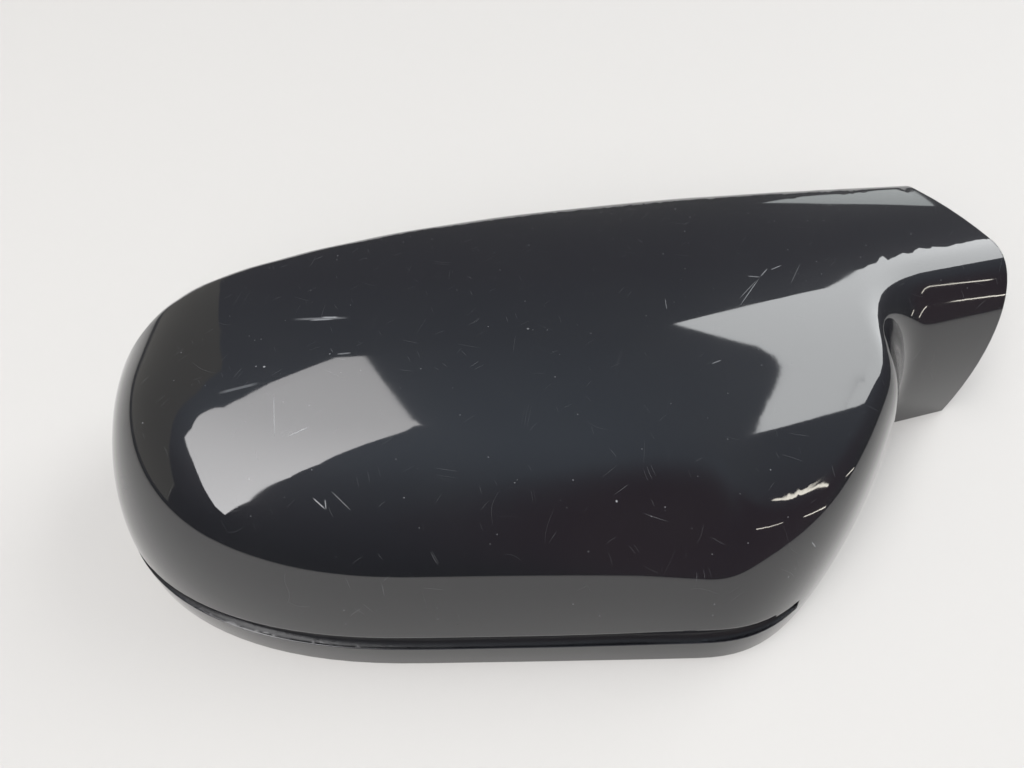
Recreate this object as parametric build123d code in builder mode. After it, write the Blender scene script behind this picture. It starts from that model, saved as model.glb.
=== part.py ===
"""Wing mirror cover, one moulded shell lying on its open rim with the crown up.

+X runs from the rounded outer tip to the neck, -Y is the front edge with the
water gutter, +Z is up and the rim stands on z = 0.  Sizes are millimetres.
"""
import math
import os

from build123d import *

# Plan of the rim, distances along the length are taken from the tip, and the far end moves with the length
length = 248.8  # tip to the far edge of the neck
neck_end = length - 11.3  # neck end plane on the floor, at the middle of the neck
neck_cant = 0.245  # end plane runs back towards the tip, per mm of width
neck_lean = 0.139  # end plane leans out, per mm of height
tip_y = -12.4  # width position of the outermost point
front_y = -70.9  # front edge
front_bow = 0.6  # bow of the front edge over 100 mm
nose_front = 87.0  # where the front edge starts to turn to the tip
nose_front_power = 2.33
corner_at = length - 72.8  # front right corner
corner_bend = 21.5  # half length of the corner curve
corner_run = 1.10  # slope after the corner, width per length
right_at = length - 41.6  # the right wall turns on towards the back
right_bend = 18.1
right_run = 1.02  # slope gained there
notch_at = length - 25.7  # inner corner between right wall and neck
notch_bend = 5.0
neck_flare = 0.234
back_y = 66.7  # back edge, where it starts to turn to the tip
nose_back = 172.0
nose_back_power = 1.85
back_flare = 0.068

# Crown
body_height = 54.0
neck_height = 49.8
ridge_body = -5.3  # width position of the highest line over the body
ridge_neck = 10.1
crown_radius = 147.0  # across the width
front_radius = 40.0  # width of the roll from wall to crown
right_radius = 14.0
neck_radius = 25.0
back_radius = 11.5
tip_radius = 40.0
front_power = 2.28
right_power = 2.45
neck_power = 2.2
back_power = 2.65
tip_power = 2.8
roll_from = length - 110.8  # where the front roll starts to tighten
roll_over = 66.0
neck_from = length - 36.8  # where the neck roll starts to widen again
neck_over = 14.0

slope_from = length - 148.8  # the crown goes from body to neck height
slope_over = 130.0

# The crown falls towards the front right corner
crown_fall = 8.0
fall_from = length - 128.8
fall_over = 100.0
fall_side = 15.0  # width position where the fall starts
fall_width = 85.0

# Moulding
wall = 2.5
skirt = 6.0  # the surface is carried on below the rim and cut flat

# Water gutter round the front edge and the tip
gutter_low = 9.5  # top of the lip
gutter_high = 13.6
gutter_depth = 3.6
ledge_high = 14.8
ledge_depth = 1.8
band_reach = 3.2  # swelling of the wall behind the gutter
band_rise = 6.0
gutter_from = length - 62.8  # on the front wall, from the tip
gutter_to = 27.0  # on the back wall
gutter_over = 5.0  # the swelling runs on past the ledge
ledge_over = 8.0  # the ledge runs on past the channel

# Snap hooks and guide ribs inside the rim
front_hooks = (45.0, 105.0, corner_at - 16)
back_hooks = (55.0, 120.0, corner_at + 14)
hook_width = 10.0
hook_reach = 8.0
hook_thick = 1.8
hook_nose = 2.0
hook_foot = 3.5
hook_shelf = 20.0
guide_gap = 9.0
guide_thick = 1.6
guide_reach = 4.0
guide_foot = 8.0
guide_top = 22.0

# Locating posts under the crown, place from the tip and width position
post_places = ((95.0, 0.0), (corner_at - 1, 20.0))
post_radius = 3.0
post_foot = 14.0
boss_radius = 4.5
boss_foot = 28.0
web_thick = 1.6
web_reach = 9.0
web_foot = 36.0

tip_x = -length / 2
gutter_mid = (gutter_low + gutter_high) / 2
ledge_mid = (gutter_mid + gutter_high) / 2


def limit(u):
    return min(max(u, 0.0), 1.0)


def ease(u):
    u = limit(u)
    return u**3 * (10 - 15 * u + 6 * u * u)


def mix(a, b, share):
    return a + (b - a) * share


def bend(t, half):
    """Smooth corner: 0 before it, t after it."""
    if t >= half:
        return t
    u = limit((t + half) / (2 * half))
    return 2 * half * u**3 * (1 - u / 2)


def rounded(u, power):
    """Wall to crown, 0 at the edge and 1 from u = 1 on."""
    return (1 - (1 - limit(u)) ** power) ** (1 / power)


def nose(s, start, power, inset):
    return rounded(1 - limit((start - s) / (start - inset)), power)


def edge_line(s, inset=0.0):
    """Plan of the front edge, the right wall and the neck front."""
    straight = front_y + inset + front_bow * ((s - length / 2 - 16) / 100) ** 2
    plan = mix(tip_y, straight, nose(s, nose_front, nose_front_power, inset))
    plan += corner_run * bend(s - corner_at, corner_bend)
    plan += right_run * bend(s - right_at, right_bend)
    return plan - (corner_run + right_run - neck_flare) * bend(s - notch_at, notch_bend)


edge_marks = [(t, edge_line(t)) for t in range(int(nose_front), int(length) + 40)]
turn_from = (nose_front + roll_from) / 2  # before it the edge runs along the length


def from_edge(s, y):
    """Distance to the front edge and the place on it that lies nearest."""
    if y <= edge_line(s):
        return y - edge_line(s), s
    low = min(edge_marks, key=lambda mark: (mark[0] - s) ** 2 + (mark[1] - y) ** 2)[0] - 1
    high = low + 2
    for _ in range(16):
        a = low + (high - low) * 0.382
        b = low + (high - low) * 0.618
        if math.hypot(a - s, edge_line(a) - y) < math.hypot(b - s, edge_line(b) - y):
            high = b
        else:
            low = a
    place = (low + high) / 2
    return math.hypot(place - s, edge_line(place) - y), place


def front_edge(s, inset):
    if s < turn_from or inset == 0:
        return edge_line(s, inset)
    low = edge_line(s)
    high = low + 20 * inset
    for _ in range(30):
        middle = (low + high) / 2
        if from_edge(s, middle)[0] < inset:
            low = middle
        else:
            high = middle
    return high


def back_edge(s, inset):
    straight = back_y - inset + back_flare * (s - nose_back)
    return mix(tip_y, straight, nose(s, nose_back, nose_back_power, inset))


def crown(s, y, inset):
    share = ease((s - slope_from) / slope_over)
    ridge = mix(ridge_body, ridge_neck, share)
    fall = crown_fall * ease((s - fall_from) / fall_over) * limit((fall_side - y) / fall_width) ** 2
    return mix(body_height, neck_height, share) - fall - inset - (y - ridge) ** 2 / (2 * crown_radius)


def height(s, y, inset=0.0):
    if s < turn_from:
        away = y - edge_line(s, inset)
        place = s
    else:
        away, place = from_edge(s, y)
        away -= inset
    tight = ease((place - roll_from) / roll_over)
    neck = ease((place - neck_from) / neck_over)
    radius = mix(mix(front_radius, right_radius, tight), neck_radius, neck)
    power = mix(mix(front_power, right_power, tight), neck_power, neck)
    share = rounded(away / (radius - inset), power)
    share *= rounded((back_edge(s, inset) - y) / (back_radius - inset), back_power)
    share *= rounded((s - inset) / (tip_radius - inset), tip_power)
    return (crown(s, y, inset) + skirt) * share - skirt


def section(s, inset, count=41):
    """Points of the arch from front rim to back rim, evenly spaced along it."""
    low = front_edge(s, inset)
    high = back_edge(s, inset)
    fine = []
    for i in range(401):
        y = mix(low, high, (1 - math.cos(math.pi * i / 400)) / 2)
        fine.append((y, height(s, y, inset)))
    along = [0.0]
    for a, b in zip(fine, fine[1:]):
        along.append(along[-1] + math.dist(a, b))
    points = [fine[0]]
    i = 0
    for k in range(1, count - 1):
        goal = along[-1] * k / (count - 1)
        while along[i + 1] < goal:
            i += 1
        share = (goal - along[i]) / (along[i + 1] - along[i])
        points.append((mix(fine[i][0], fine[i + 1][0], share), mix(fine[i][1], fine[i + 1][1], share)))
    return points + [fine[-1]]


def spread(first, last, count):
    return [first + (last - first) * k / count for k in range(count)]


def stations(inset):
    """Close together round the tip, the corner and the notch, wider along the body."""
    body_start = 34.0
    corner_start = corner_at - corner_bend
    notch_start = right_at - 5
    neck_start = notch_at + 14
    end = length + 12 + inset
    places = [inset + 0.06 + (body_start - inset) * (k / 9) ** 2.2 for k in range(9)]
    places += spread(body_start, corner_start, 14)
    places += spread(corner_start, notch_start, 11)
    places += spread(notch_start, neck_start, 15)
    places += spread(neck_start, end, 5)
    return places + [end]


def body(inset):
    """Solid under the surface that lies inset below the outside."""
    with BuildPart() as solid:
        slices = []
        for s in stations(inset):
            arch = section(s, inset)
            with BuildSketch(Plane.YZ.offset(tip_x + s)) as cut:
                with BuildLine():
                    add(Edge.make_spline(arch, parameters=[k / (len(arch) - 1) for k in range(len(arch))]))
                    Line(arch[-1], arch[0])
                make_face()
            slices.append(cut.sketch.face())
        loft(sections=slices)
    return solid.part


def edge_at(s, z, back):
    """Width position of the outside on the front or the back wall at height z."""
    rim = back_edge(s, 0) if back else front_edge(s, 0)
    inner = mix(rim, tip_y if s < nose_front else 0, 0.9)
    for _ in range(40):
        middle = (rim + inner) / 2
        if height(s, middle) < z:
            rim = middle
        else:
            inner = middle
    return (rim + inner) / 2


def gutter_path():
    """Line on the outside from the right corner round the tip to the back."""
    first = 1.6
    front = [first + (gutter_from - first) * (k / 14) ** 1.8 for k in range(14, -1, -1)]
    points = [(tip_x + s, edge_at(s, gutter_mid, False), gutter_mid) for s in front]
    back = [first + (gutter_to - first) * (k / 5) ** 1.6 for k in range(6)]
    points += [(tip_x + s, edge_at(s, gutter_mid, True), gutter_mid) for s in back]
    return Edge.make_spline(points)


def gutter(path, middle, reach, level, rise):
    """Oval bar along the path, its middle set inward of the outside."""
    way = path % 0
    inward = Vector(0, 0, 1).cross(way) * -1
    with BuildPart() as bar:
        with BuildSketch(Plane(path @ 0, x_dir=inward, z_dir=way)):
            with Locations((middle, level - gutter_mid)):
                Ellipse(reach, rise)
        sweep(path=path)
    return bar.part


def rim_plane(s, back):
    """Upright plane across the rim: local x runs inward, local y up."""
    step = 0.5
    edge = back_edge if back else front_edge
    along = Vector(2 * step, edge(s + step, 0) - edge(s - step, 0), 0).normalized()
    inward = Vector(0, 0, 1).cross(along) * (-1 if back else 1)
    spot = (tip_x + s, edge(s, 0), 0)
    return Plane(spot, x_dir=inward, z_dir=inward.cross(Vector(0, 0, 1)))


def depth(s, z, back):
    """How far the outside lies inward of the rim at height z, square to the rim."""
    edge = back_edge if back else front_edge
    return abs(edge_at(s, z, back) - edge_at(s, 0, back)) * abs(rim_plane(s, back).x_dir.Y)


band_line = gutter_path()
inset_share = gutter_over / band_line.length
ledge_line = band_line.trim(inset_share, 1 - inset_share)
channel_line = ledge_line.trim(ledge_over / ledge_line.length, 1)

with BuildPart() as cover:
    add(body(0))
    split(bisect_by=Plane.XY, keep=Keep.TOP)
    add(body(wall), mode=Mode.SUBTRACT)
    add(gutter(band_line, gutter_depth + 0.4, band_reach, gutter_mid, band_rise))

    # Snap hooks with a guide rib on either side
    for place, back in (*((s, False) for s in front_hooks), *((s, True) for s in back_hooks)):
        root = depth(place, hook_shelf, back) + wall / 2
        tongue = root + hook_reach
        with BuildSketch(rim_plane(place, back)):
            with BuildLine():
                Polyline(
                    (root, hook_shelf),
                    (tongue, hook_shelf),
                    (tongue, hook_foot + 4),
                    (tongue + hook_nose, hook_foot + 4),
                    (tongue, hook_foot),
                    (tongue - hook_thick, hook_foot),
                    (tongue - hook_thick, hook_shelf - hook_thick),
                    (root, hook_shelf - hook_thick),
                    close=True,
                )
            make_face()
        extrude(amount=hook_width / 2, both=True)
        for side in (-guide_gap, guide_gap):
            clear = 0 if back else gutter_depth
            low = max(depth(place + side, guide_foot, back), clear) + wall / 2
            high = max(depth(place + side, guide_top, back), clear) + wall / 2
            with BuildSketch(rim_plane(place + side, back)):
                with BuildLine():
                    Polyline(
                        (low, guide_foot),
                        (high + guide_reach, guide_foot),
                        (high + guide_reach, guide_top - 5),
                        (high + wall / 2, guide_top),
                        (high, guide_top),
                        close=True,
                    )
                make_face()
            extrude(amount=guide_thick / 2, both=True)

    # Locating posts, trimmed to end inside the wall of the crown
    with BuildPart(mode=Mode.PRIVATE) as posts:
        up = (Align.CENTER, Align.CENTER, Align.MIN)
        for s, y in post_places:
            with Locations((tip_x + s, y, post_foot)):
                Cylinder(post_radius, body_height, align=up)
            with Locations((tip_x + s, y, boss_foot)):
                Cylinder(boss_radius, body_height, align=up)
            with Locations((tip_x + s, y, web_foot)):
                Box(2 * web_reach, web_thick, body_height, align=up)
                Box(web_thick, 2 * web_reach, body_height, align=up)
        add(body(wall / 2), mode=Mode.INTERSECT)
    add(posts.part)

    # Gutter: a shallow ledge and the deeper channel in it
    add(gutter(ledge_line, -0.2, ledge_depth + 0.2, ledge_mid, ledge_high - ledge_mid), mode=Mode.SUBTRACT)
    add(gutter(channel_line, 0.5, gutter_depth - 0.5, gutter_mid, gutter_high - gutter_mid), mode=Mode.SUBTRACT)

    # Neck end
    end = Plane((tip_x + neck_end, 38.2, 0), z_dir=(1, neck_cant, -neck_lean))
    split(bisect_by=end, keep=Keep.BOTTOM)

cover.part.label = "mirror_cover"

os.makedirs("parts", exist_ok=True)
export_step(cover.part, "parts/mirror_cover.step")
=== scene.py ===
import math

import bpy
import numpy as np
from mathutils import Matrix, Vector

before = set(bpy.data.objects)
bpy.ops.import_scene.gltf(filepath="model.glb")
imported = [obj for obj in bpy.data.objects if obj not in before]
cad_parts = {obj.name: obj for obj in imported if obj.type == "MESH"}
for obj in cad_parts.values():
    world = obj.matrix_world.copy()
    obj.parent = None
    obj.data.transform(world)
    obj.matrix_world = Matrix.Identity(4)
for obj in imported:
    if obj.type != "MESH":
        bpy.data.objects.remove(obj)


def write_size():
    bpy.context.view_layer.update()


write_size()
scene = bpy.context.scene
scene.view_settings.view_transform = "Standard"
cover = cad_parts["mirror_cover"]

# Outside of the shell as the part's own formulas, in mm along the length from the tip and across the width.
# They give the facets their shading normals, so that reflections run smoothly over them, and also the masks
# for the gutter and the inside.
length = 248.8
tip_y = -12.4
front_y = -70.9
front_bow = 0.6
bow_at = length / 2 + 16
bow_over = 100.0
nose_front = 87.0
nose_front_power = 2.33
corner_at = length - 72.8
corner_bend = 21.5
corner_run = 1.10
right_at = length - 41.6
right_bend = 18.1
right_run = 1.02
notch_at = length - 25.7
notch_bend = 5.0
neck_flare = 0.234
back_y = 66.7
nose_back = 172.0
nose_back_power = 1.85
back_flare = 0.068

body_height = 54.0
neck_height = 49.8
ridge_body = -5.3
ridge_neck = 10.1
crown_radius = 147.0
front_radius = 40.0
right_radius = 14.0
neck_radius = 25.0
back_radius = 11.5
tip_radius = 40.0
front_power = 2.28
right_power = 2.45
neck_power = 2.2
back_power = 2.65
tip_power = 2.8
roll_from = length - 110.8
roll_over = 66.0
neck_from = length - 36.8
neck_over = 14.0
slope_from = length - 148.8
slope_over = 130.0
crown_fall = 8.0
fall_from = length - 128.8
fall_over = 100.0
fall_side = 15.0
fall_width = 85.0
skirt = 6.0

turn_at = (nose_front + roll_from) / 2  # past here the roll follows the nearest point of the front edge
edge_step = 0.5
search_rounds = 24
golden_low, golden_high = 0.382, 0.618
fine_count = 700
across_count = 170
edge_gap = 0.004
slope_step = 0.002


def limit(u):
    return np.clip(u, 0.0, 1.0)


def ease(u):
    u = limit(u)
    return u**3 * (10 - 15 * u + 6 * u * u)


def mix(a, b, share):
    return a + (b - a) * share


def bend(t, half):
    """Smooth corner: 0 before it, t after it."""
    u = limit((t + half) / (2 * half))
    return np.where(t >= half, t, 2 * half * u**3 * (1 - u / 2))


def rounded(u, power):
    """Wall to crown, 0 at the edge and 1 from u = 1 on."""
    return (1 - (1 - limit(u)) ** power) ** (1 / power)


def front_edge(s):
    straight = front_y + front_bow * ((s - bow_at) / bow_over) ** 2
    plan = mix(tip_y, straight, rounded(s / nose_front, nose_front_power))
    plan = plan + corner_run * bend(s - corner_at, corner_bend) + right_run * bend(s - right_at, right_bend)
    return plan - (corner_run + right_run - neck_flare) * bend(s - notch_at, notch_bend)


def back_edge(s):
    return mix(tip_y, back_y + back_flare * (s - nose_back), rounded(s / nose_back, nose_back_power))


edge_places = np.arange(nose_front, length + 40, edge_step)
edge_y = front_edge(edge_places)


def from_edge(s, y):
    """Distance to the front edge and the place on it that lies nearest."""
    gap = (edge_places[:, None] - s[None, :]) ** 2 + (edge_y[:, None] - y[None, :]) ** 2
    low = edge_places[np.argmin(gap, axis=0)] - edge_step
    high = low + 2 * edge_step
    for _ in range(search_rounds):
        a = low + (high - low) * golden_low
        b = low + (high - low) * golden_high
        nearer = np.hypot(a - s, front_edge(a) - y) < np.hypot(b - s, front_edge(b) - y)
        low, high = np.where(nearer, low, a), np.where(nearer, b, high)
    place = (low + high) / 2
    return np.hypot(place - s, front_edge(place) - y), place


def height(s, y):
    away, place = y - front_edge(s), s
    if s[0] >= turn_at:
        away, place = from_edge(s, y)
    tight = ease((place - roll_from) / roll_over)
    neck = ease((place - neck_from) / neck_over)
    radius = mix(mix(front_radius, right_radius, tight), neck_radius, neck)
    power = mix(mix(front_power, right_power, tight), neck_power, neck)
    share = rounded(away / radius, power)
    share = share * rounded((back_edge(s) - y) / back_radius, back_power) * rounded(s / tip_radius, tip_power)
    slope = ease((s - slope_from) / slope_over)
    fall = crown_fall * ease((s - fall_from) / fall_over) * limit((fall_side - y) / fall_width) ** 2
    ridge = mix(ridge_body, ridge_neck, slope)
    crown = mix(body_height, neck_height, slope) - fall - (y - ridge) ** 2 / (2 * crown_radius)
    return (crown + skirt) * share - skirt


def arch(s):
    """Points across the shell at one place along it, evenly spaced, and the normals there."""
    low, high = front_edge(s) + edge_gap, back_edge(s) - edge_gap
    y = mix(low, high, (1 - np.cos(np.linspace(0, math.pi, fine_count))) / 2)
    z = height(np.full_like(y, s), y)
    along = np.concatenate([[0], np.cumsum(np.hypot(np.diff(y), np.diff(z)))])
    y = np.interp(np.linspace(0, along[-1], across_count), along, y)
    here = np.full_like(y, s)
    rise_y = (height(here, y + slope_step) - height(here, y - slope_step)) / (2 * slope_step)
    rise_s = (height(here + slope_step, y) - height(here - slope_step, y)) / (2 * slope_step)
    normal = np.stack([-rise_s, -rise_y, np.ones_like(y)], axis=1)
    point = np.stack([here - length / 2, y, height(here, y)], axis=1)
    return point, normal / np.linalg.norm(normal, axis=1, keepdims=True)


def shell_form():
    """Hidden grid over the outside that carries the normals, closer where the shell turns."""
    places = np.concatenate([
        0.2 + 34 * (np.arange(28) / 28) ** 2.0,
        np.arange(34.5, 150, 3.0),
        np.arange(150.5, 200, 1.8),
        np.arange(200.5, 240, 1.0),
        np.arange(240.5, length + 8, 2.0),
    ])
    rows = [arch(float(s)) for s in places]
    points = np.concatenate([row[0] for row in rows]) / 1000
    normals = np.concatenate([row[1] for row in rows]).astype(np.float32)
    faces = [
        (i + j, i + across_count + j, i + across_count + j + 1, i + j + 1)
        for i in range(0, (len(rows) - 1) * across_count, across_count)
        for j in range(across_count - 1)
    ]
    mesh = bpy.data.meshes.new("shell_form")
    mesh.from_pydata(points.tolist(), [], faces)
    attribute = mesh.attributes.new("form_normal", "FLOAT_VECTOR", "POINT")
    attribute.data.foreach_set("vector", normals.ravel())
    form = bpy.data.objects.new("shell_form", mesh)
    form.hide_render = True
    scene.collection.objects.link(form)
    return form


class Tree:
    """Short forms for building a node tree."""

    def __init__(self, tree):
        self.tree = tree

    def node(self, kind, **settings):
        made = self.tree.nodes.new(kind)
        for key, value in settings.items():
            setattr(made, key, value)
        return made

    def feed(self, socket, value):
        if isinstance(value, bpy.types.NodeSocket):
            self.tree.links.new(value, socket)
        else:
            socket.default_value = value

    def fed(self, kind, inputs, **settings):
        """New node with its inputs fed by name."""
        made = self.node(kind, **settings)
        for name, value in inputs.items():
            self.feed(made.inputs[name], value)
        return made

    def calc(self, operation, *values):
        made = self.node("ShaderNodeMath", operation=operation)
        for socket, value in zip(made.inputs, values):
            self.feed(socket, value)
        return made.outputs[0]

    def vector(self, operation, *values, output="Vector"):
        made = self.node("ShaderNodeVectorMath", operation=operation)
        for socket, value in zip(made.inputs, values):
            self.feed(socket, value)
        return made.outputs[output]

    def between(self, value, start, end, low=0.0, high=1.0):
        """Smooth step from low at start to high at end."""
        made = self.node("ShaderNodeMapRange", interpolation_type="SMOOTHSTEP")
        for socket, number in zip(made.inputs, (value, start, end, low, high)):
            self.feed(socket, number)
        return made.outputs["Result"]

    def blend(self, share, first, second):
        inputs = {"Factor": share, "A": first, "B": second}
        return self.fed("ShaderNodeMix", inputs, data_type="RGBA").outputs["Result"]

    def axes(self, vector):
        return self.fed("ShaderNodeSeparateXYZ", {"Vector": vector}).outputs

    def parts(self, color):
        return self.fed("ShaderNodeSeparateColor", {"Color": color}).outputs


# How far a facet may lie off the form, in metres, and how well it has to face the same way
skin_gap = 0.0003
neck_starts = 0.066  # along X, past the channel of the gutter
neck_gap = 0.0012  # added from there on
same_way = 0.93
groove_gap = 0.00035
inside_gap = 0.007
inside_way = -0.2


def smooth_skin(form):
    """Modifier: outside facets take the form's normals, and masks mark the gutter and the bare inside."""
    group = bpy.data.node_groups.new("smooth_skin", "GeometryNodeTree")
    for side in ("INPUT", "OUTPUT"):
        group.interface.new_socket("Geometry", in_out=side, socket_type="NodeSocketGeometry")
    tree = Tree(group)
    surface = tree.fed("GeometryNodeObjectInfo", {"Object": form}).outputs["Geometry"]
    place = tree.node("GeometryNodeInputPosition").outputs["Position"]
    facing = tree.node("GeometryNodeInputNormal").outputs["Normal"]
    stored = tree.fed(
        "GeometryNodeInputNamedAttribute", {"Name": "form_normal"}, data_type="FLOAT_VECTOR"
    ).outputs["Attribute"]

    def nearest(value):
        inputs = {"Mesh": surface, "Value": value, "Sample Position": place}
        return tree.fed("GeometryNodeSampleNearestSurface", inputs, data_type="FLOAT_VECTOR").outputs["Value"]

    def store(geometry, name, value):
        inputs = {"Geometry": geometry, "Name": name, "Value": value}
        kind = "GeometryNodeStoreNamedAttribute"
        return tree.fed(kind, inputs, data_type="FLOAT", domain="POINT").outputs["Geometry"]

    normal = tree.vector("NORMALIZE", nearest(stored))
    gap = tree.vector("DISTANCE", place, nearest(place), output="Value")
    agree = tree.vector("DOT_PRODUCT", facing, normal, output="Value")
    on_neck = tree.calc("GREATER_THAN", tree.axes(place)["X"], neck_starts)
    allowed = tree.calc("ADD", tree.calc("MULTIPLY", on_neck, neck_gap), skin_gap)
    near = tree.calc("LESS_THAN", gap, allowed)
    on_skin = tree.calc("MULTIPLY", near, tree.calc("GREATER_THAN", agree, same_way))
    choice = {"Switch": on_skin, "False": facing, "True": normal}
    chosen = tree.fed("GeometryNodeSwitch", choice, input_type="VECTOR").outputs["Output"]
    turned = tree.calc("LESS_THAN", agree, inside_way)
    inside = tree.calc("MAXIMUM", turned, tree.calc("GREATER_THAN", gap, inside_gap))

    geometry = tree.node("NodeGroupInput").outputs["Geometry"]
    geometry = store(geometry, "bare", inside)
    geometry = store(geometry, "groove", tree.calc("GREATER_THAN", gap, groove_gap))
    inputs = {"Mesh": geometry, "Custom Normal": chosen}
    smooth = tree.fed("GeometryNodeSetMeshNormal", inputs, mode="FREE", domain="CORNER")
    tree.feed(tree.node("NodeGroupOutput").inputs["Geometry"], smooth.outputs["Mesh"])
    cover.modifiers.new("smooth_skin", "NODES").node_group = group


# Scratches and scuffs that the photo shows, seen from above in mm: start, end, half width, strength
scratches = (
    # pale scuff left of the middle
    ((-69.0, -0.2), (-53.4, 0.0), 0.5, 0.30),
    ((-64.5, -0.6), (-57.2, -0.3), 0.35, 0.55),
    ((-61.5, 0.3), (-56.4, 0.2), 0.3, 0.75),
    # marks round the left window's reflection
    ((-56.0, -11.6), (-52.1, -11.3), 0.3, 0.35),
    ((-83.5, -22.2), (-72.8, -19.2), 0.5, 0.22),
    ((-59.0, -45.8), (-55.9, -48.2), 0.16, 0.8),
    ((-55.9, -48.2), (-56.1, -46.2), 0.16, 0.7),
    ((-54.9, -44.6), (-50.0, -48.7), 0.14, 0.35),
    ((-69.6, -21.9), (-67.9, -33.9), 0.12, 0.55),
    ((-65.2, -33.3), (-60.1, -30.9), 0.14, 0.75),
    # scratches towards the neck
    ((45.6, 3.0), (53.5, 14.0), 0.13, 0.55),
    ((45.9, 5.5), (52.5, 13.0), 0.12, 0.35),
    ((53.5, 14.0), (56.5, 17.6), 0.2, 0.45),
    ((56.9, 16.8), (60.7, 18.9), 0.2, 0.5),
    ((50.0, 14.3), (53.8, 14.0), 0.3, 0.35),
    ((66.2, 20.1), (60.9, 11.1), 0.12, 0.22),
    # single ones
    ((56.5, -53.0), (58.3, -53.5), 0.2, 0.5),
    ((26.7, 5.7), (26.6, 1.5), 0.12, 0.4),
    ((35.4, -14.8), (38.3, -13.5), 0.2, 0.35),
)
# Hairlines: angle in degrees, length and spacing in mm, share of cells, shift of the pattern, strength
hairline_layers = (
    (12, 16.0, 0.20, 0.012, 0.0, 0.30),
    (-38, 9.0, 0.18, 0.012, 5.3, 0.34),
    (64, 6.0, 0.18, 0.014, 9.1, 0.30),
    (103, 20.0, 0.20, 0.010, 14.7, 0.24),
)
# Dust: largest radius and spacing in mm, share of cells, strength
dust_layers = (
    (0.36, 4.6, 0.16, 0.7),
    (0.22, 1.6, 0.16, 0.45),
)
wear_low, wear_high = 14.0, 24.0  # heights in mm between which the wear comes in
# Sizes of the cloudy patterns, in mm
wear_size = 34.0
film_size = 22.0
flake_size = 0.22
peel_size = 1.3
grain_size = 0.5
wave_size = 16.0
wave_reach = 9  # how far the waves bend a hairline
clean_color = (0.0018, 0.0022, 0.0040, 1)
film_color = (0.0042, 0.0046, 0.0058, 1)
flake_color = (0.009, 0.010, 0.015, 1)
groove_color = (0.012, 0.012, 0.013, 1)
plastic_color = (0.016, 0.016, 0.0165, 1)
worn_color = (0.36, 0.37, 0.38, 1)
coat_ior = 1.8
edge_radius = 0.0004
grain_depth = 0.00008
peel_depth = 0.000004


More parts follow.
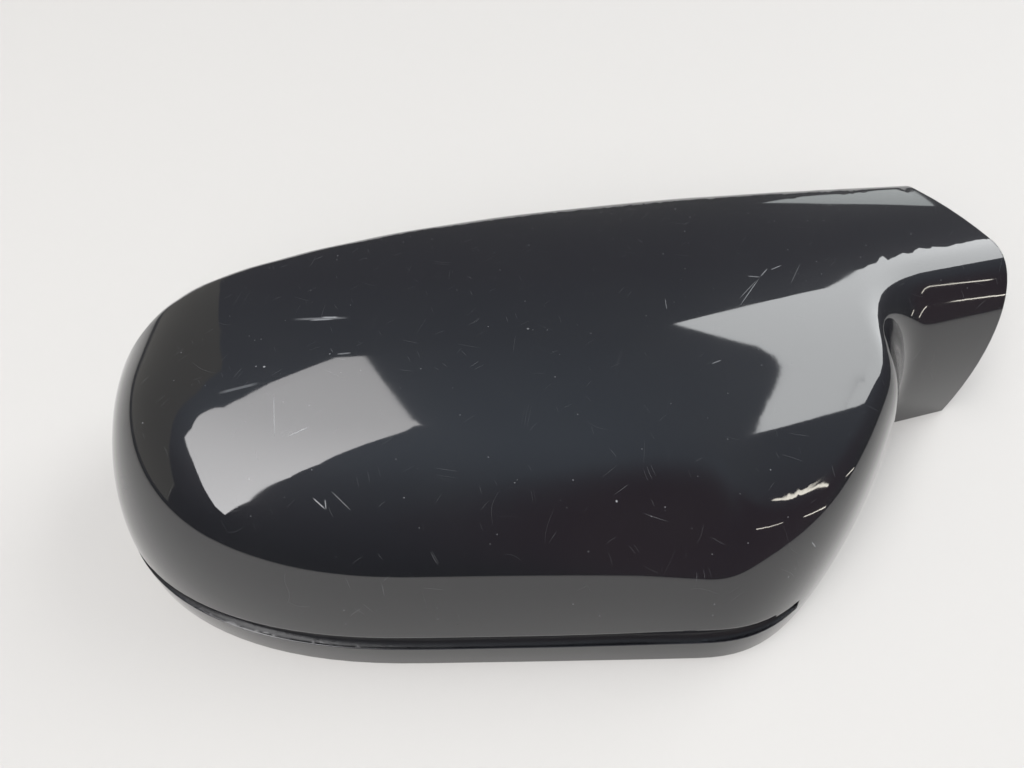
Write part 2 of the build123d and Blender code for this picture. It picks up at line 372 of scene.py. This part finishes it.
class Surface(Tree):
    """Patterns of the paint, in mm of the part."""

    def __init__(self, tree):
        super().__init__(tree)
        place = self.node("ShaderNodeTexCoord").outputs["Object"]
        scaled = self.node("ShaderNodeVectorMath", operation="SCALE")
        self.feed(scaled.inputs[0], place)
        self.feed(scaled.inputs["Scale"], 1000.0)
        self.mm = scaled.outputs[0]
        waves = {"Vector": self.mm, "Scale": 1 / wave_size, "Detail": 1.0}
        waves = self.fed("ShaderNodeTexNoise", waves).outputs["Color"]
        self.bent = self.vector("MULTIPLY_ADD", waves, (wave_reach, wave_reach, 0), self.mm)

    def mask(self, name):
        return self.node("ShaderNodeAttribute", attribute_name=name).outputs["Fac"]

    def noise(self, size, detail=2.0):
        inputs = {"Vector": self.mm, "Scale": 1 / size, "Detail": detail}
        return self.fed("ShaderNodeTexNoise", inputs).outputs["Fac"]

    def less(self, value, share=1.0):
        """What is left of 1 when a share of the value is taken off."""
        return self.calc("SUBTRACT", 1.0, self.calc("MULTIPLY", value, share))

    def hairlines(self, angle, reach, spacing, share, shift):
        """Short scratches in one direction, slightly bent, at random places."""
        turn = {"Vector": self.bent, "Angle": math.radians(angle)}
        turned = self.fed("ShaderNodeVectorRotate", turn, rotation_type="Z_AXIS").outputs[0]
        drawn = self.vector("MULTIPLY_ADD", turned, (1 / reach, 1 / spacing, 0), (shift, shift * 3.7, 0))
        cells = self.fed("ShaderNodeTexVoronoi", {"Vector": drawn, "Scale": 1.0}, voronoi_dimensions="2D")
        chance = self.parts(cells.outputs["Color"])
        line = self.between(cells.outputs["Distance"], 0.20, 0.10)
        line = self.calc("MULTIPLY", line, self.calc("LESS_THAN", chance[0], share))
        return self.calc("MULTIPLY", line, self.between(chance[1], 0.0, 1.0, 0.15, 1.0))

    def specks(self, size, spacing, share):
        """Dust grains at random places."""
        cells = self.fed("ShaderNodeTexVoronoi", {"Vector": self.mm, "Scale": 1 / spacing})
        chance = self.parts(cells.outputs["Color"])
        radius = self.calc("MULTIPLY", chance[1], size / spacing)
        dot = self.calc("LESS_THAN", cells.outputs["Distance"], radius)
        return self.calc("MULTIPLY", dot, self.calc("LESS_THAN", chance[0], share))

    def stroke(self, start, end, width, strength):
        """One scratch on the crown that fades out at both ends."""
        run = Vector((end[0] - start[0], end[1] - start[1], 0))
        size = run.length
        run.normalize()
        off = self.vector("SUBTRACT", self.mm, (start[0], start[1], 0))
        along = self.vector("DOT_PRODUCT", off, run, output="Value")
        side = self.vector("DOT_PRODUCT", off, (-run.y, run.x, 0), output="Value")
        middle = self.calc("ABSOLUTE", self.calc("SUBTRACT", along, size / 2))
        past = self.calc("SUBTRACT", middle, size / 2)
        reach = self.calc("MULTIPLY", self.between(past, 0.0, -0.3 * size), strength)
        across = self.between(self.calc("ABSOLUTE", side), width, 0.3 * width)
        return self.calc("MULTIPLY", across, reach)

    def largest(self, values):
        most = values[0]
        for value in values[1:]:
            most = self.calc("MAXIMUM", most, value)
        return most

    def wear(self, inner):
        """Scratches, hairlines and dust, on the painted crown only."""
        layers = [self.calc("MULTIPLY", self.hairlines(*row[:-1]), row[-1]) for row in hairline_layers]
        layers += [self.calc("MULTIPLY", self.specks(*row[:-1]), row[-1]) for row in dust_layers]
        spread = self.between(self.noise(wear_size), 0.36, 0.66, 0.25, 1.0)
        hair = self.calc("MULTIPLY", self.largest(layers), spread)
        worn = self.largest([hair] + [self.stroke(*row) for row in scratches])
        crown = self.between(self.axes(self.mm)["Z"], wear_low, wear_high)
        return self.calc("MULTIPLY", self.calc("MULTIPLY", worn, crown), self.less(inner))

    def bump(self, strength, distance, pattern, normal):
        inputs = {"Strength": strength, "Distance": distance, "Height": pattern, "Normal": normal}
        return self.fed("ShaderNodeBump", inputs).outputs["Normal"]


def material(name):
    made = bpy.data.materials.new(name)
    made.use_nodes = True
    return made, made.node_tree.nodes["Principled BSDF"].inputs


def paint():
    """Dark base coat under a clear coat, dull in the gutter, and bare plastic inside."""
    made, sockets = material("paint")
    look = Surface(made.node_tree)
    inner = look.mask("bare")
    groove = look.mask("groove")
    worn = look.wear(inner)
    film = look.between(look.noise(film_size, 4.0), 0.35, 0.75)
    flake = look.between(look.noise(flake_size, 0.0), 0.60, 0.80)
    base = look.blend(look.calc("MULTIPLY", film, 0.5), clean_color, film_color)
    base = look.blend(look.calc("MULTIPLY", flake, 0.35), base, flake_color)
    base = look.blend(look.calc("MULTIPLY", groove, 0.6), base, groove_color)
    base = look.blend(inner, base, plastic_color)
    look.feed(sockets["Base Color"], look.blend(worn, base, worn_color))
    look.feed(sockets["Roughness"], look.between(inner, 0.0, 1.0, 0.28, 0.55))
    look.feed(sockets["Specular IOR Level"], look.between(inner, 0.0, 1.0, 0.05, 0.4))
    clear = look.calc("MULTIPLY", look.less(inner), look.less(worn, 0.8))
    look.feed(sockets["Coat Weight"], look.calc("MULTIPLY", clear, look.less(groove, 0.65)))
    haze = look.between(film, 0.0, 1.0, 0.025, 0.05)
    look.feed(sockets["Coat Roughness"], look.calc("MULTIPLY_ADD", groove, 0.22, haze))
    look.feed(sockets["Coat IOR"], coat_ior)
    edges = look.fed("ShaderNodeBevel", {"Radius": edge_radius}, samples=8).outputs["Normal"]
    grain = look.bump(look.calc("MULTIPLY", inner, 0.5), grain_depth, look.noise(grain_size, 2.0), edges)
    peel = look.bump(0.12, peel_depth, look.noise(peel_size, 1.0), edges)
    look.feed(sockets["Normal"], grain)
    look.feed(sockets["Coat Normal"], peel)
    return made


def stage_plane(name, corners, mat):
    flat = bpy.data.meshes.new(name)
    flat.from_pydata([tuple(c) for c in corners], [], [tuple(range(len(corners)))])
    flat.materials.append(mat)
    obj = bpy.data.objects.new(name, flat)
    scene.collection.objects.link(obj)
    return obj


floor_half = 4
floor_color = (0.585, 0.573, 0.551, 1)


def floor():
    made, sockets = material("floor")
    sockets["Base Color"].default_value = floor_color
    sockets["Roughness"].default_value = 0.7
    sockets["Specular IOR Level"].default_value = 0.2
    signs = ((-1, -1), (1, -1), (1, 1), (-1, 1))
    stage_plane("floor", [(x * floor_half, y * floor_half, 0) for x, y in signs], made)


# Light cards are given by where they stand in the sky, in degrees from the zenith towards +X and +Y
card_away = 2.5
card_centre = Vector((0, 0, 0.04))
tube_half = 0.4
tube_strength = 9.0
tube_color = (1, 0.95, 0.84)
window_left = (
    (-40.3, -12.5), (-32.5, -2.5), (-25.2, 11.8), (-20.2, 23.5), (-15.3, 31.1), (-12.9, 31.6), (-11, 21.5),
    (-7.9, 10.4), (-10.4, 3.5), (-14.1, -7.1), (-18.6, -19.7), (-24.3, -30.7), (-36.7, -47.6), (-48, -55.7),
    (-48.7, -51.5), (-43.1, -30),
)
window_right = (
    (20.1, 36.6), (25.2, 38), (27.9, 39.1), (30, 40.5), (31.5, 46), (36, 50.5), (50, 48), (72, 38), (66, 29),
    (59, 21), (52, 11), (46, 6), (41, 4.5), (38.2, 2), (36.9, 0.3), (35.5, 0.8), (34.45, 4.4), (33.65, 7.8),
    (33, 10.6), (32.4, 13.2), (31.7, 16.3), (30.5, 20.4), (28.8, 24.6), (25.2, 30.1),
)
gap_back = ((27.5, 78), (31.7, 78.2), (36.8, 76.8), (42.9, 76.5), (41.4, 66.9), (39, 69), (33.5, 73))
wall_left = (
    (-30.3, 52.9), (-25.8, 39.1), (-24.2, 27), (-27, 21), (-44.2, -2.3), (-48.7, -11.3), (-62.8, -39.9),
    (-76, -44), (-86, -12), (-84, 22), (-66, 55), (-40, 76),
)


def toward(x, y):
    fall = math.radians(math.hypot(x, y))
    turn = math.atan2(y, x)
    return Vector((math.sin(fall) * math.cos(turn), math.sin(fall) * math.sin(turn), math.cos(fall)))


def glow(name, color, strength, fade):
    """Emission that is stronger towards -Y and weaker towards +Y by half the fade."""
    made = bpy.data.materials.new(name)
    made.use_nodes = True
    made.node_tree.nodes.clear()
    tree = Tree(made.node_tree)
    if fade:
        place = tree.node("ShaderNodeTexCoord").outputs["Generated"]
        ends = {"To Min": strength * (1 + fade / 2), "To Max": strength * (1 - fade / 2)}
        strength = tree.fed("ShaderNodeMapRange", {"Value": tree.axes(place)["Y"], **ends}).outputs["Result"]
    emission = tree.fed("ShaderNodeEmission", {"Color": (*color, 1), "Strength": strength})
    tree.fed("ShaderNodeOutputMaterial", {"Surface": emission.outputs["Emission"]})
    return made


def card(name, spots, strength, color, fade=0.0):
    corners = [card_centre + card_away * toward(*spot) for spot in spots]
    stage_plane(name, corners, glow(name, color, strength, fade)).visible_camera = False


def tube(name, *spots):
    """Lamp tube: a thin strip along the spots."""
    upper = [(x, y + tube_half) for x, y in spots]
    lower = [(x, y - tube_half) for x, y in reversed(spots)]
    card(name, upper + lower, tube_strength, tube_color)


def cards():
    """What the paint mirrors: two windows, lamp tubes, a bright gap behind and a wall on the left."""
    card("window_left", window_left, 4.7, (1.0, 0.99, 1.0), fade=0.6)
    card("window_right", window_right, 4.6, (0.97, 0.99, 1.0))
    tube("tube_1", (42.5, -15.7), (43.9, -17.7), (50, -22), (57.1, -25.9))
    tube("tube_2", (28, -60.5), (43, -52), (51.8, -44.6))
    tube("tube_3", (62.8, -41.8), (78, -39))
    tube("tube_4", (78, -26.6), (85, -23))
    card("gap_back", gap_back, 1.5, (0.95, 1, 1))
    card("wall_left", wall_left, 0.42, (1, 0.97, 0.9))


lamp_power = 66
lamp_size = 3
lamp_place = Vector((-0.45, -1.3, 2.1))
lamp_target = Vector((0, 0, 0.02))


def fill_lamp():
    light = bpy.data.lights.new("fill", "AREA")
    light.energy = lamp_power
    light.size = lamp_size
    lamp = bpy.data.objects.new("fill", light)
    lamp.location = lamp_place
    lamp.rotation_euler = (lamp_target - lamp_place).to_track_quat("-Z", "Y").to_euler()
    lamp.visible_glossy = False
    scene.collection.objects.link(lamp)


# Room tones by the height of the direction, 0 at the horizon and 1 overhead
horizon_tone = (0.13, 0.13, 0.135, 1)
zenith_tone = (0.41, 0.46, 0.53, 1)
middle_tones = ((0.5, (0.23, 0.23, 0.255, 1)), (0.8, (0.31, 0.33, 0.37, 1)))
warm_tone = (0.215, 0.165, 0.185, 1)  # towards the front right
warm_toward = (38, -55)
warm_from, warm_full = 0.7, 0.95
backdrop = (0.86, 0.85, 0.83, 1)  # what the camera sees past the floor


def room():
    world = bpy.data.worlds.new("room")
    scene.world = world
    world.use_nodes = True
    tree = Tree(world.node_tree)
    direction = tree.node("ShaderNodeTexCoord").outputs["Generated"]
    ramp = tree.fed("ShaderNodeValToRGB", {"Fac": tree.axes(direction)["Z"]})
    stops = ramp.color_ramp.elements
    stops[0].color = horizon_tone
    stops[1].color = zenith_tone
    for spot, tone in middle_tones:
        stops.new(spot).color = tone
    facing = tree.vector("DOT_PRODUCT", direction, toward(*warm_toward), output="Value")
    tones = tree.blend(tree.between(facing, warm_from, warm_full), ramp.outputs["Color"], warm_tone)
    seen = tree.node("ShaderNodeLightPath").outputs["Is Camera Ray"]
    background = world.node_tree.nodes["Background"].inputs
    tree.feed(background["Color"], tree.blend(seen, tones, backdrop))
    background["Strength"].default_value = 1


# Camera as fitted to the photo
photo_width = 1024
focal_pixels = 740
sensor_width = 36
camera_away = 0.2136
camera_target = Vector((-0.0133, 0.0012, 0.022))
camera_elevation = math.radians(54.4)
camera_roll = math.radians(-1.17)


def place_camera():
    behind = Vector((0, -math.cos(camera_elevation), math.sin(camera_elevation)))
    level = Vector((1, 0, 0))
    upright = behind.cross(level)
    right = math.cos(camera_roll) * level + math.sin(camera_roll) * upright
    above = -math.sin(camera_roll) * level + math.cos(camera_roll) * upright
    lens = bpy.data.cameras.new("camera")
    lens.sensor_width = sensor_width
    lens.lens = focal_pixels * sensor_width / photo_width
    lens.clip_start = 0.01
    camera = bpy.data.objects.new("camera", lens)
    turned = Matrix((right, above, behind)).transposed().to_4x4()
    camera.matrix_world = Matrix.Translation(camera_target + camera_away * behind) @ turned
    scene.collection.objects.link(camera)
    scene.camera = camera


smooth_skin(shell_form())
cover.data.materials.clear()
cover.data.materials.append(paint())
floor()
cards()
fill_lamp()
room()
place_camera()

write_size()
